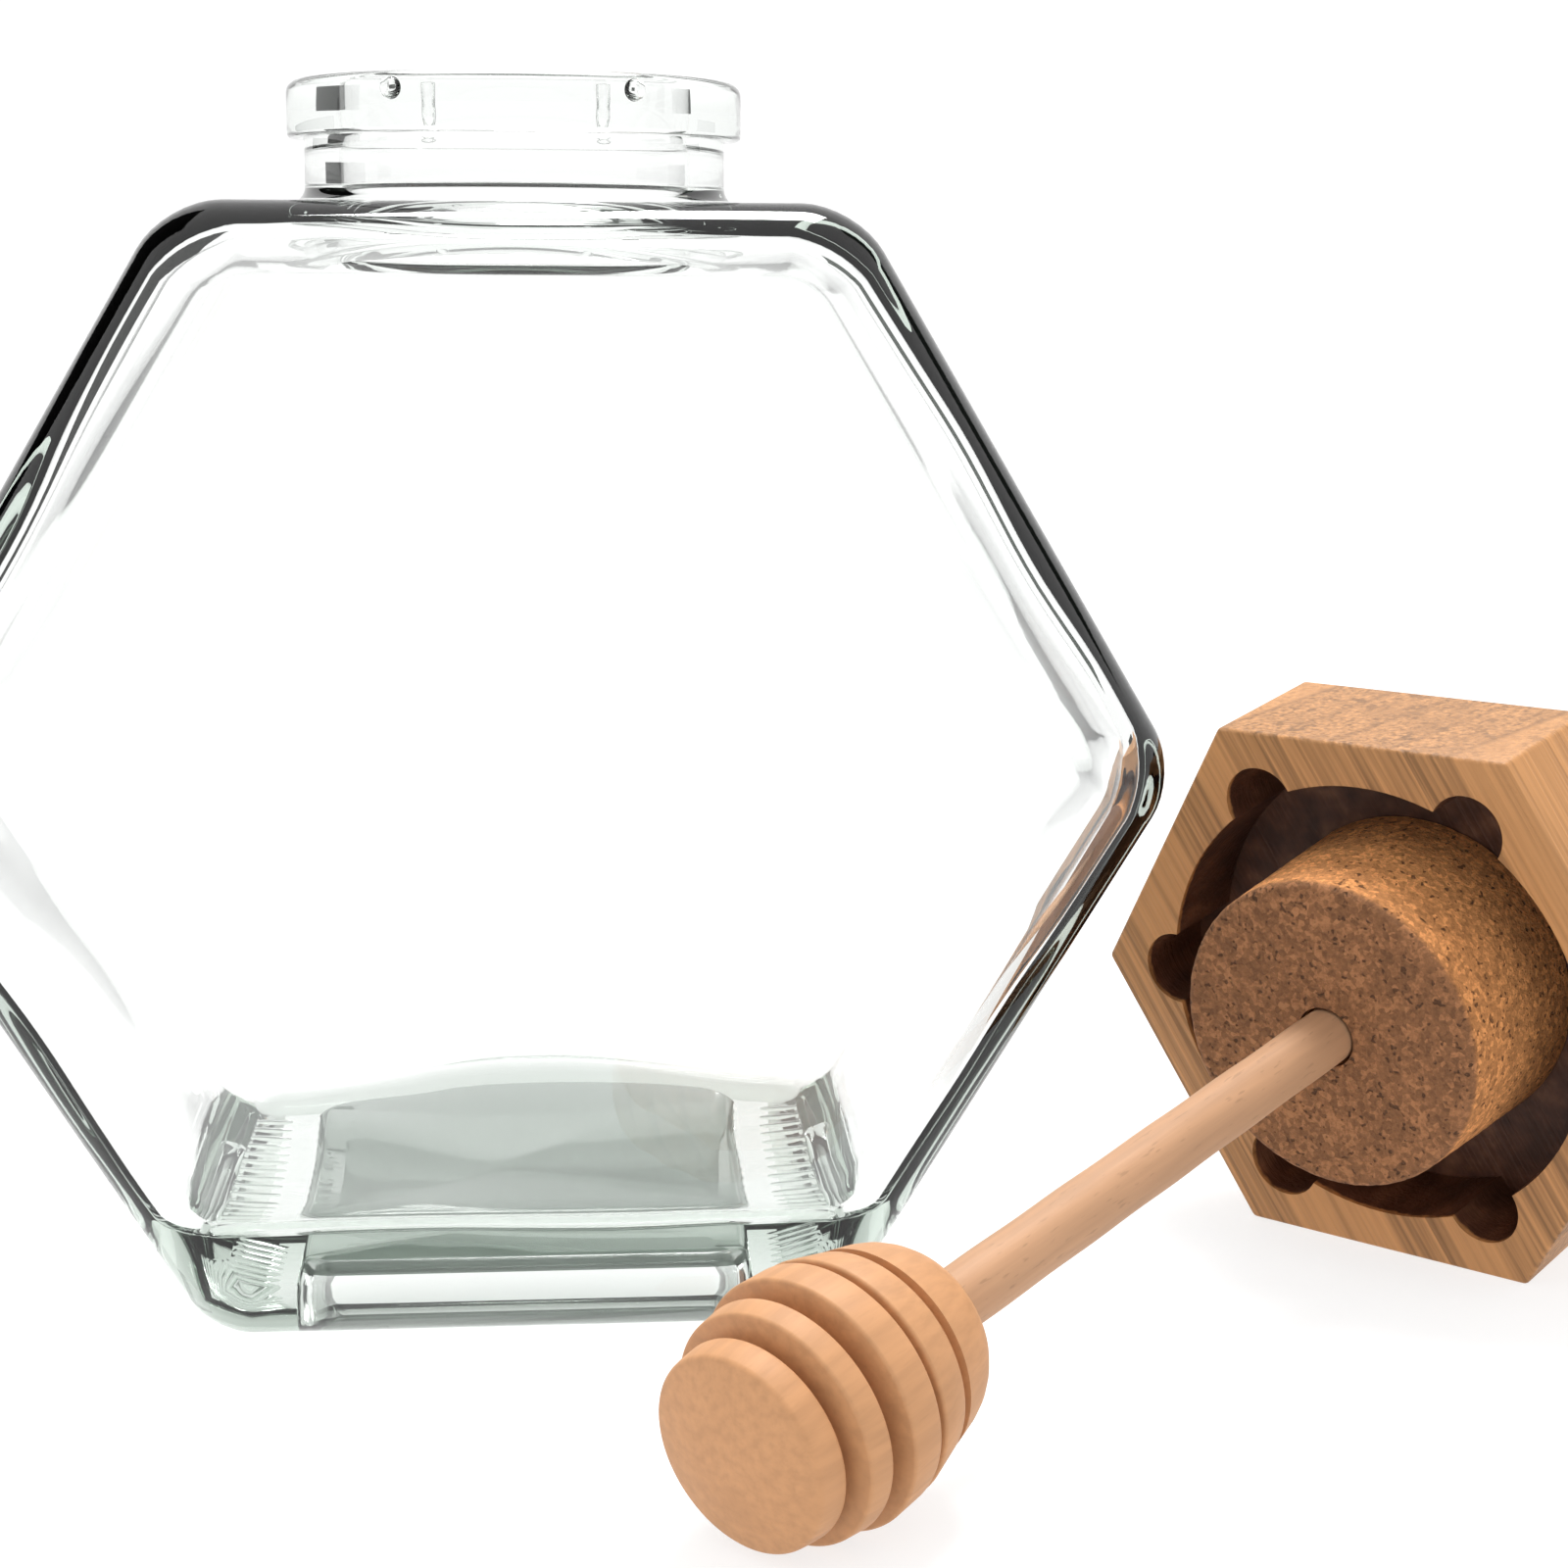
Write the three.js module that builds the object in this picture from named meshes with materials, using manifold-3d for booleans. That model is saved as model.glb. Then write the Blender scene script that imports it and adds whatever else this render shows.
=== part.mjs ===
// Honey jar set: an open hexagonal glass jar and, lying beside it, its lid with a cork and a honey dipper.
// Millimetres, +Z up, standing on the plane z = 0. The jar's broad front looks along -Y.

import * as THREE from 'three';
import * as BufferGeometryUtils from 'three/addons/utils/BufferGeometryUtils.js';
import Module from 'manifold-3d';

const wasm = await Module();
wasm.setup();

// Jar body
const WAIST_WIDTH = 115;
const SHOULDER_WIDTH = 57.2;
const BASE_WIDTH = 54.9;
const WAIST_HEIGHT = 49.2;
const BODY_HEIGHT = 97.8;
const BODY_DEPTH = 55;
const BODY_CORNER_RADIUS = 8;
const HEEL_RADIUS = 6.5;
const BODY_EDGE_RADIUS = 6;

// Jar cavity
const WALL = 3.2;
const BASE_THICKNESS = 9.3;
const CAVITY_CORNER_RADIUS = 7;
const CAVITY_HEEL_RADIUS = 5;
const CAVITY_EDGE_RADIUS = 3.5;
const FLOOR_CROWN_WIDTH = 44;
const FLOOR_CROWN_RISE = 2.4;

// Underside: a pushed-up panel between two bearing strips, and grooves across the rounded heels
const PUSH_UP_WIDTH = 41;
const PUSH_UP_DEPTH = 40.5;
const PUSH_UP_HEIGHT = 6.5;
const PUSH_UP_SLOPE = 1.5;
const PUSH_UP_CORNER_RADIUS = 4;
const KNURL_COUNT = 16;
const KNURL_PITCH = 2.6;
const KNURL_RADIUS = 1.1;
const KNURL_BITE = 0.2;
const KNURL_INNER_X = 23.4;
const KNURL_OUTER_X = 27.4;
const KNURL_RISE = 1.1;
const KNURL_RUN_OUT = 1.6;

// Neck and mouth
const NECK_RADIUS = 18.8;
const NECK_ROOT_DEPTH = 1.6;
const NECK_FILLET = 1.6;
const RING_RADIUS = 20.3;
const RING_BOTTOM = 5.8;
const RING_TOP = 10.8;
const RING_ROUNDING = 1.1;
const RING_LOWER_CHAMFER = 0.37;
const MOUTH_RADIUS = 15.6;
const LUG_RADIUS = 0.95;
const LUG_DROP = 1.5;
const LUG_ANGLES = [30, 150, 210, 330];

// Lid
const LID_RADIUS = 29.5;
const LID_THICKNESS = 15.8;
const LID_CHAMFER = 0.4;
const LID_APOTHEM = LID_RADIUS * Math.cos(Math.PI / 6);
const RECESS_RADIUS = 21.5;
const RECESS_DEPTH = 9.5;
const NOTCH_COUNT = 6;
const NOTCH_RADIUS = 3.6;
const NOTCH_OFFSET = 21.3;

// Cork
const CORK_END_RADIUS = 14.9;
const CORK_ROOT_RADIUS = 15.5;
const CORK_OUTSTAND = 8.2;
const CORK_ROUNDING = 0.6;
const CORK_BORE_DEPTH = 12;

// Dipper, with distances along its axis from the face of the lid
const STICK_RADIUS = 2.6;
const HEAD_START = 67.2;
const HEAD_END = 90.6;
const SOCKET_DEPTH = 10;
const WIDEST_RING_RADIUS = 10.2;
const WIDEST_RING_FRONT = 81.7;
const RING_ROUND = 0.3;
const HEAD_RINGS = [
  { start: 74.3, end: 77.8, startRadius: 9.1, endRadius: 9.9 },
  { start: 78.4, end: WIDEST_RING_FRONT, startRadius: 10.05, endRadius: WIDEST_RING_RADIUS },
  { start: 83.3, end: 85.6, startRadius: 9.5, endRadius: 9.3 },
];
const GROOVE_RADII = [8.1, 8.7, 6.9, 6.2];
const SHOULDER_POINTS = [
  [4.4, 0],
  [6.1, 0.7],
  [7.4, 2.1],
  [8.3, 4.1],
  [8.8, 6.2],
];
const CAP_START = 86.9;
const CAP_START_RADIUS = 8.1;
const CAP_FACE = 89.3;
const CAP_FACE_RADIUS = 7.8;
const DOME_SHARES = [0.93, 0.72, 0.4, 0];
const DOME_FULLNESS = 4;

// How the lid lies: turned from facing the front, on its lower front edge and the dipper's widest ring
const LID_EDGE_X = 82;
const LID_EDGE_Y = -7.9;
const LID_HEADING = THREE.MathUtils.degToRad(46);

// Fits and smoothness
const FIT_GAP = 0.3;
const CUT_OVERRUN = 1;
const MERGE_DISTANCE = 1e-5;
const CORNER_STEPS = 6;
const EDGE_STEPS = 5;
const ARC_STEPS = 4;
const SLOPE_STEPS = 3;
const ROUND_STEPS = 48;
const NECK_STEPS = 72;
const STICK_STEPS = 24;
const STICK_LENGTHS = 6;
const NOTCH_STEPS = 20;
const KNURL_STEPS = 12;
const LUG_STEPS = 12;
const LUG_RINGS = 8;

const GLASS = { color: '#dfe6e0', roughness: 0.04, metalness: 0 };
const BAMBOO = { color: '#c29a6b', roughness: 0.55, metalness: 0 };
const CORK = { color: '#a8713f', roughness: 0.9, metalness: 0 };
const STICK_WOOD = { color: '#d3a382', roughness: 0.6, metalness: 0 };
const HEAD_WOOD = { color: '#d9a673', roughness: 0.55, metalness: 0 };

// Turns a closed geometry into a solid that can be joined and cut.
function solidOf(geometry) {
  const bare = geometry.clone();
  bare.deleteAttribute('normal');
  bare.deleteAttribute('uv');
  const merged = BufferGeometryUtils.mergeVertices(bare, MERGE_DISTANCE);
  const vertProperties = new Float32Array(merged.attributes.position.array);
  const triVerts = new Uint32Array(merged.index.array);
  return new wasm.Manifold(new wasm.Mesh({ numProp: 3, vertProperties, triVerts }));
}

function geometryOf(solid) {
  const mesh = solid.getMesh();
  const geometry = new THREE.BufferGeometry();
  geometry.setAttribute('position', new THREE.BufferAttribute(new Float32Array(mesh.vertProperties), 3));
  geometry.setIndex(new THREE.BufferAttribute(new Uint32Array(mesh.triVerts), 1));
  geometry.computeVertexNormals();
  return geometry;
}

function piece(name, geometry, finish) {
  const mesh = new THREE.Mesh(geometry, new THREE.MeshStandardMaterial(finish));
  mesh.name = name;
  return mesh;
}

// Moves every side of a counter-clockwise outline inwards, side i by insets[i].
function insetOutline(corners, insets) {
  const sides = corners.map((corner, i) => {
    const along = corners[(i + 1) % corners.length].clone().sub(corner).normalize();
    const inward = new THREE.Vector2(-along.y, along.x);
    return { point: corner.clone().addScaledVector(inward, insets[i]), along };
  });
  return sides.map((side, i) => {
    const before = sides[(i + sides.length - 1) % sides.length];
    const reach = side.point.clone().sub(before.point).cross(side.along) / before.along.cross(side.along);
    return before.point.clone().addScaledVector(before.along, reach);
  });
}

// An outline with every corner rounded by an arc, corner i with radii[i].
function roundedShape(corners, radii) {
  const points = [];
  corners.forEach((corner, i) => {
    const radius = radii[i];
    const toBefore = corners[(i + corners.length - 1) % corners.length].clone().sub(corner).normalize();
    const toNext = corners[(i + 1) % corners.length].clone().sub(corner).normalize();
    const halfAngle = Math.acos(toBefore.dot(toNext)) / 2;
    const middle = toBefore.clone().add(toNext).normalize();
    const centre = corner.clone().addScaledVector(middle, radius / Math.sin(halfAngle));
    const start = corner.clone().addScaledVector(toBefore, radius / Math.tan(halfAngle)).sub(centre);
    const turn = Math.PI - 2 * halfAngle;
    for (let step = 0; step <= CORNER_STEPS; step += 1) {
      const angle = (turn * step) / CORNER_STEPS;
      points.push(start.clone().rotateAround(new THREE.Vector2(), angle).add(centre));
    }
  });
  return new THREE.Shape(points);
}

// A slab standing upright with rounded edges: the outline lies in X and Z, the thickness along Y.
function uprightSlab(corners, radii, thickness, edgeRadius) {
  const geometry = new THREE.ExtrudeGeometry(roundedShape(corners, radii), {
    depth: thickness - 2 * edgeRadius,
    bevelThickness: edgeRadius,
    bevelSize: edgeRadius,
    bevelOffset: -edgeRadius,
    bevelSegments: EDGE_STEPS,
  });
  geometry.translate(0, 0, edgeRadius - thickness / 2);
  geometry.rotateX(Math.PI / 2);
  return solidOf(geometry);
}

// A solid of revolution about Z from [radius, height] points.
function turned(profile, steps) {
  const points = profile.map(([radius, height]) => new THREE.Vector2(radius, height));
  const geometry = new THREE.LatheGeometry(points, steps);
  geometry.rotateX(Math.PI / 2);
  return geometry;
}

// Points of an arc about (radius, height), between two angles in degrees.
function arcPoints(radius, height, arcRadius, fromDegrees, toDegrees) {
  return Array.from({ length: ARC_STEPS + 1 }, (_, step) => {
    const angle = THREE.MathUtils.degToRad(fromDegrees + ((toDegrees - fromDegrees) * step) / ARC_STEPS);
    return [radius + arcRadius * Math.cos(angle), height + arcRadius * Math.sin(angle)];
  });
}

// The hexagon of the body, from its lower left corner round to its left side corner.
function bodyCorners() {
  return [
    new THREE.Vector2(-BASE_WIDTH / 2, 0),
    new THREE.Vector2(BASE_WIDTH / 2, 0),
    new THREE.Vector2(WAIST_WIDTH / 2, WAIST_HEIGHT),
    new THREE.Vector2(SHOULDER_WIDTH / 2, BODY_HEIGHT),
    new THREE.Vector2(-SHOULDER_WIDTH / 2, BODY_HEIGHT),
    new THREE.Vector2(-WAIST_WIDTH / 2, WAIST_HEIGHT),
  ];
}

// The roundings of those corners: the two heels first, then the others.
function cornerRadii(heel, others) {
  return [heel, heel, others, others, others, others];
}

// The neck rises from inside the body's top with a fillet and ends in a thicker, rounded ring.
function neckSolid() {
  const ringBottom = BODY_HEIGHT + RING_BOTTOM;
  const ringTop = BODY_HEIGHT + RING_TOP;
  const profile = [
    [0, BODY_HEIGHT - NECK_ROOT_DEPTH],
    [NECK_RADIUS + NECK_FILLET, BODY_HEIGHT - NECK_ROOT_DEPTH],
    ...arcPoints(NECK_RADIUS + NECK_FILLET, BODY_HEIGHT + NECK_FILLET, NECK_FILLET, 270, 180),
    [NECK_RADIUS, ringBottom],
    [RING_RADIUS - RING_LOWER_CHAMFER, ringBottom],
    [RING_RADIUS, ringBottom + RING_LOWER_CHAMFER],
    ...arcPoints(RING_RADIUS - RING_ROUNDING, ringTop - RING_ROUNDING, RING_ROUNDING, 0, 90),
    [0, ringTop],
  ];
  return solidOf(turned(profile, NECK_STEPS));
}

// Small round lugs on the ring, near its top.
function addLugs(solid) {
  let joined = solid;
  for (const degrees of LUG_ANGLES) {
    const angle = THREE.MathUtils.degToRad(degrees - 90);
    const lug = new THREE.SphereGeometry(LUG_RADIUS, LUG_STEPS, LUG_RINGS);
    lug.translate(
      RING_RADIUS * Math.cos(angle),
      RING_RADIUS * Math.sin(angle),
      BODY_HEIGHT + RING_TOP - LUG_DROP,
    );
    joined = joined.add(solidOf(lug));
  }
  return joined;
}

// The inside of the jar: the hexagonal hollow over a crowned floor, and the mouth with a rounded lip.
function cavitySolid() {
  const insets = [BASE_THICKNESS, WALL, WALL, WALL, WALL, WALL];
  const corners = insetOutline(bodyCorners(), insets);
  const radii = cornerRadii(CAVITY_HEEL_RADIUS, CAVITY_CORNER_RADIUS);
  const hollow = uprightSlab(corners, radii, BODY_DEPTH - 2 * WALL, CAVITY_EDGE_RADIUS);
  return hollow.subtract(floorCrown()).add(mouthSolid());
}

function floorCrown() {
  const half = FLOOR_CROWN_WIDTH / 2;
  const crown = new THREE.Shape();
  crown.moveTo(-half, BASE_THICKNESS - CUT_OVERRUN);
  crown.lineTo(half, BASE_THICKNESS - CUT_OVERRUN);
  crown.lineTo(half, BASE_THICKNESS);
  crown.quadraticCurveTo(0, BASE_THICKNESS + 2 * FLOOR_CROWN_RISE, -half, BASE_THICKNESS);
  const geometry = new THREE.ExtrudeGeometry(crown, { depth: BODY_DEPTH, bevelEnabled: false });
  geometry.translate(0, 0, -BODY_DEPTH / 2);
  geometry.rotateX(Math.PI / 2);
  return solidOf(geometry);
}

function mouthSolid() {
  const ringTop = BODY_HEIGHT + RING_TOP;
  const lipRadius = MOUTH_RADIUS + RING_ROUNDING;
  const profile = [
    [0, BODY_HEIGHT - 2 * WALL],
    [MOUTH_RADIUS + WALL, BODY_HEIGHT - 2 * WALL],
    [MOUTH_RADIUS + WALL, BODY_HEIGHT - WALL],
    ...arcPoints(MOUTH_RADIUS + WALL, BODY_HEIGHT, WALL, 270, 180).slice(1),
    ...arcPoints(lipRadius, ringTop - RING_ROUNDING, RING_ROUNDING, 180, 90),
    [lipRadius, ringTop + CUT_OVERRUN],
    [0, ringTop + CUT_OVERRUN],
  ];
  return solidOf(turned(profile, NECK_STEPS));
}

// The underside's pushed-up panel, narrowing upwards.
function pushUpSolid() {
  const width = PUSH_UP_WIDTH / 2;
  const depth = PUSH_UP_DEPTH / 2;
  const corners = [
    new THREE.Vector2(-width, -depth),
    new THREE.Vector2(width, -depth),
    new THREE.Vector2(width, depth),
    new THREE.Vector2(-width, depth),
  ];
  const radii = corners.map(() => PUSH_UP_CORNER_RADIUS);
  const geometry = new THREE.ExtrudeGeometry(roundedShape(corners, radii), {
    depth: CUT_OVERRUN,
    bevelThickness: PUSH_UP_HEIGHT,
    bevelSize: PUSH_UP_SLOPE,
    bevelOffset: -PUSH_UP_SLOPE,
    bevelSegments: SLOPE_STEPS,
  });
  geometry.translate(0, 0, -CUT_OVERRUN);
  return solidOf(geometry);
}

// Grooves across the two rounded heels, which fade out at both ends and leave ribs between them.
function cutKnurls(solid) {
  let cut = solid;
  const run = KNURL_OUTER_X - KNURL_INNER_X;
  const tilt = Math.atan2(KNURL_RISE, run);
  const length = Math.hypot(run, KNURL_RISE) + KNURL_RUN_OUT;
  for (const side of [-1, 1]) {
    for (let row = 0; row < KNURL_COUNT; row += 1) {
      const y = (row - (KNURL_COUNT - 1) / 2) * KNURL_PITCH;
      const groove = new THREE.CylinderGeometry(KNURL_RADIUS, KNURL_RADIUS, length, KNURL_STEPS);
      groove.rotateZ(Math.PI / 2);
      groove.translate(0, 0, KNURL_BITE - KNURL_RADIUS);
      groove.rotateY(-side * tilt);
      groove.translate((side * (KNURL_INNER_X + KNURL_OUTER_X)) / 2, y, KNURL_RISE / 2);
      cut = cut.subtract(solidOf(groove));
    }
  }
  return cut;
}

function jar() {
  const radii = cornerRadii(HEEL_RADIUS, BODY_CORNER_RADIUS);
  const body = uprightSlab(bodyCorners(), radii, BODY_DEPTH, BODY_EDGE_RADIUS);
  const outside = addLugs(body.add(neckSolid()));
  const hollowed = outside.subtract(cavitySolid()).subtract(pushUpSolid());
  return piece('jar', geometryOf(cutKnurls(hollowed)), GLASS);
}

// The lid's own frame: its axis is Z, its open face is z = 0 and its lower flat side is y = 0.
function lid() {
  const outline = new THREE.Shape(
    Array.from({ length: 6 }, (_, i) => {
      return new THREE.Vector2(LID_RADIUS, 0).rotateAround(new THREE.Vector2(), (i * Math.PI) / 3);
    }),
  );
  const block = new THREE.ExtrudeGeometry(outline, {
    depth: LID_THICKNESS - 2 * LID_CHAMFER,
    bevelThickness: LID_CHAMFER,
    bevelSize: LID_CHAMFER,
    bevelOffset: -LID_CHAMFER,
    bevelSegments: 1,
  });
  block.translate(0, 0, LID_CHAMFER - LID_THICKNESS);
  const geometry = geometryOf(solidOf(block).subtract(recessSolid()));
  const mesh = piece('lid', geometry, BAMBOO);
  mesh.position.y = LID_APOTHEM;
  return mesh;
}

// A round recess with six notches that let the jar's lugs pass.
function recessSolid() {
  const height = RECESS_DEPTH + CUT_OVERRUN;
  const drum = new THREE.CylinderGeometry(RECESS_RADIUS, RECESS_RADIUS, height, ROUND_STEPS);
  drum.rotateX(Math.PI / 2);
  let recess = solidOf(drum);
  for (let i = 0; i < NOTCH_COUNT; i += 1) {
    const notch = new THREE.CylinderGeometry(NOTCH_RADIUS, NOTCH_RADIUS, height, NOTCH_STEPS);
    notch.rotateX(Math.PI / 2);
    notch.translate(NOTCH_OFFSET, 0, 0);
    notch.rotateZ((i * 2 * Math.PI) / NOTCH_COUNT);
    recess = recess.add(solidOf(notch));
  }
  return recess.translate([0, 0, CUT_OVERRUN - height / 2]);
}

// A slightly tapered plug, glued into the recess and bored for the stick.
function cork() {
  const root = FIT_GAP - RECESS_DEPTH;
  const end = CORK_OUTSTAND;
  const boreRadius = STICK_RADIUS + FIT_GAP;
  const profile = [
    [0, root],
    [CORK_ROOT_RADIUS, root],
    ...arcPoints(CORK_END_RADIUS - CORK_ROUNDING, end - CORK_ROUNDING, CORK_ROUNDING, 0, 90),
    [boreRadius, end],
    [boreRadius, end - CORK_BORE_DEPTH],
    [0, end - CORK_BORE_DEPTH],
  ];
  const mesh = piece('cork', turned(profile, ROUND_STEPS), CORK);
  mesh.position.y = LID_APOTHEM;
  return mesh;
}

function dipperStick() {
  const start = CORK_OUTSTAND - CORK_BORE_DEPTH + FIT_GAP;
  const end = HEAD_START + SOCKET_DEPTH - FIT_GAP;
  const length = end - start;
  const stick = new THREE.CylinderGeometry(STICK_RADIUS, STICK_RADIUS, length, STICK_STEPS, STICK_LENGTHS);
  stick.rotateX(Math.PI / 2);
  const mesh = piece('dipper_stick', stick, STICK_WOOD);
  mesh.position.set(0, LID_APOTHEM, (start + end) / 2);
  return mesh;
}

// The turned head: a rounded shoulder, three rings between grooves, and a disc with a domed end.
function dipperHead() {
  const socketRadius = STICK_RADIUS + FIT_GAP;
  const profile = [
    [0, HEAD_START + SOCKET_DEPTH],
    [socketRadius, HEAD_START + SOCKET_DEPTH],
    [socketRadius, HEAD_START],
    ...SHOULDER_POINTS.map(([radius, rise]) => [radius, HEAD_START + rise]),
  ];
  HEAD_RINGS.forEach((ring, i) => {
    profile.push([GROOVE_RADII[i], profile.at(-1)[1] + RING_ROUND / 2]);
    profile.push([GROOVE_RADII[i], ring.start - RING_ROUND / 2]);
    profile.push([ring.startRadius - RING_ROUND, ring.start]);
    profile.push([ring.startRadius, ring.start + RING_ROUND]);
    profile.push([ring.endRadius, ring.end - RING_ROUND]);
    profile.push([ring.endRadius - RING_ROUND, ring.end]);
  });
  profile.push([GROOVE_RADII[3], profile.at(-1)[1] + RING_ROUND / 2]);
  profile.push([GROOVE_RADII[3], CAP_START - RING_ROUND / 2]);
  profile.push([CAP_START_RADIUS - RING_ROUND, CAP_START]);
  profile.push([CAP_START_RADIUS, CAP_START + RING_ROUND]);
  profile.push([CAP_FACE_RADIUS, CAP_FACE]);
  profile.push(...domePoints());
  const mesh = piece('dipper_head', turned(profile, ROUND_STEPS), HEAD_WOOD);
  mesh.position.y = LID_APOTHEM;
  return mesh;
}

// The end's shallow dome, from the rim of the face to the axis.
function domePoints() {
  const rise = HEAD_END - CAP_FACE;
  return DOME_SHARES.map((share) => {
    return [CAP_FACE_RADIUS * share, CAP_FACE + rise * (1 - share ** DOME_FULLNESS)];
  });
}

function lidAssembly() {
  const restLength = WIDEST_RING_FRONT + LID_CHAMFER;
  const lean = Math.atan2(LID_APOTHEM - WIDEST_RING_RADIUS, restLength);
  const assembly = new THREE.Group();
  assembly.add(lid(), cork(), dipperStick(), dipperHead());
  assembly.rotation.set(Math.PI / 2 + lean, 0, -LID_HEADING, 'ZYX');
  assembly.position.set(LID_EDGE_X, LID_EDGE_Y, -LID_CHAMFER * Math.sin(lean));
  return assembly;
}

// The whole set, moved so that the origin is the middle of its footprint on the ground.
function honeyJarSet() {
  const set = new THREE.Group();
  set.add(jar(), lidAssembly());
  set.updateMatrixWorld(true);
  const bounds = new THREE.Box3().setFromObject(set, true);
  const middle = bounds.getCenter(new THREE.Vector3());
  set.position.set(-middle.x, -middle.y, -bounds.min.z);
  return set;
}

export default honeyJarSet();
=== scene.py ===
"""Honey jar set: an open hexagonal glass jar with its bamboo lid, cork and honey dipper lying beside it.

Each piece has an operator that models it at its place and gives it its finish. Lengths are in metres.
"""

import math

import bmesh
import bpy
from mathutils import Euler, Matrix, Vector


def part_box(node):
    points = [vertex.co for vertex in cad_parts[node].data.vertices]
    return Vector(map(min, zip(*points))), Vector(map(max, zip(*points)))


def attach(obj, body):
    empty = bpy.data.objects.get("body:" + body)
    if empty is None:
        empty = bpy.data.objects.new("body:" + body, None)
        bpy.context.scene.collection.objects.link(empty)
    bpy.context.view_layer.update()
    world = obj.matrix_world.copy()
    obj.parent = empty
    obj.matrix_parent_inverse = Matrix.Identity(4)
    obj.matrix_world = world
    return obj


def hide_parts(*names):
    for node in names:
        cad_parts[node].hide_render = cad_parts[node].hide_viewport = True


bl_info = {
    "name": "Honey jar set",
    "version": (1, 0, 0),
    "blender": (4, 5, 0),
    "location": "View3D > Sidebar > Honey jar",
    "description": "Models a hexagonal glass jar, its bamboo lid with a cork, and a turned honey dipper",
    "category": "Add Mesh",
}

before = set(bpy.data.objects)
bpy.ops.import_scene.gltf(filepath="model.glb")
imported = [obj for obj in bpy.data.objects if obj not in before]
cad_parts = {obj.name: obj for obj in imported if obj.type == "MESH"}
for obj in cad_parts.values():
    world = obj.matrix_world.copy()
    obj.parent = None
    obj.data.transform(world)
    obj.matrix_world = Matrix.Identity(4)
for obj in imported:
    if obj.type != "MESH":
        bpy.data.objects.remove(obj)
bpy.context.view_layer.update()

MM = 0.001
NEAR = 0.02 * MM
CORNER_STEPS = 8
EDGE_STEPS = 8

# Where the jar stands: the middle of its CAD node's box, on the ground
JAR_LOW, JAR_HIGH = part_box("jar")
JAR_X = (JAR_LOW.x + JAR_HIGH.x) / 2
JAR_Y = (JAR_LOW.y + JAR_HIGH.y) / 2

# The photograph's frame, and the camera that fits it, placed from the middle of the jar's base
FRAME_PIXELS = 1600
FOCAL_PIXELS = 2933.1
SENSOR_WIDTH = 36.0
CAMERA_PLACE = Vector((2.13, -266.01, 92.14)) * MM
CAMERA_YAW = math.radians(4.82)
CAMERA_PITCH = math.radians(10.11)
CAMERA_ROLL = math.radians(-0.28)

# Cards that darken the glass where it bends the view sideways: name, middle, size and tone
CARDS = (
    ("dark_card_upper_left", (-0.5, 0.3, 0.5), (0.42, 0.56), "#0C0C0C"),
    ("dark_card_lower_left", (-0.5, 0.3, 0.03), (0.42, 0.14), "#161816"),
    ("dark_card_upper_right", (0.55, 0.25, 0.5), (0.16, 0.56), "#434944"),
    ("dark_card_lower_right", (0.55, 0.25, 0.03), (0.18, 0.14), "#1C1F1D"),
)
CARD_AIM = (0, 0, 0.05)

# The light: a white surround, a small softbox over the set, and a floor that is lit from below
SURROUND_STRENGTH = 1.1
SOFTBOX_PLACE = (0.1, 0.3, 0.9)
SOFTBOX_AIM = (0, 0, 0.04)
SOFTBOX_SIDE = 0.35
SOFTBOX_WATTS = 8
FLOOR_RADIUS = 4
FLOOR_GLOW = 0.75


def srgb(code):
    """Linear colour of an sRGB hex code such as "#C09060"."""
    parts = [int(code[i : i + 2], 16) / 255 for i in (1, 3, 5)]
    return [c / 12.92 if c <= 0.04045 else ((c + 0.055) / 1.055) ** 2.4 for c in parts]


def length(name, description, millimetres):
    """A property for a length of the object."""
    return bpy.props.FloatProperty(
        name=name,
        description=description,
        default=millimetres * MM,
        subtype="DISTANCE",
        unit="LENGTH",
        precision=5,
    )


def colour(name, description, code):
    """A property for a colour of a finish."""
    return bpy.props.FloatVectorProperty(
        name=name, description=description, default=srgb(code), subtype="COLOR", size=3, min=0, max=1
    )


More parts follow.
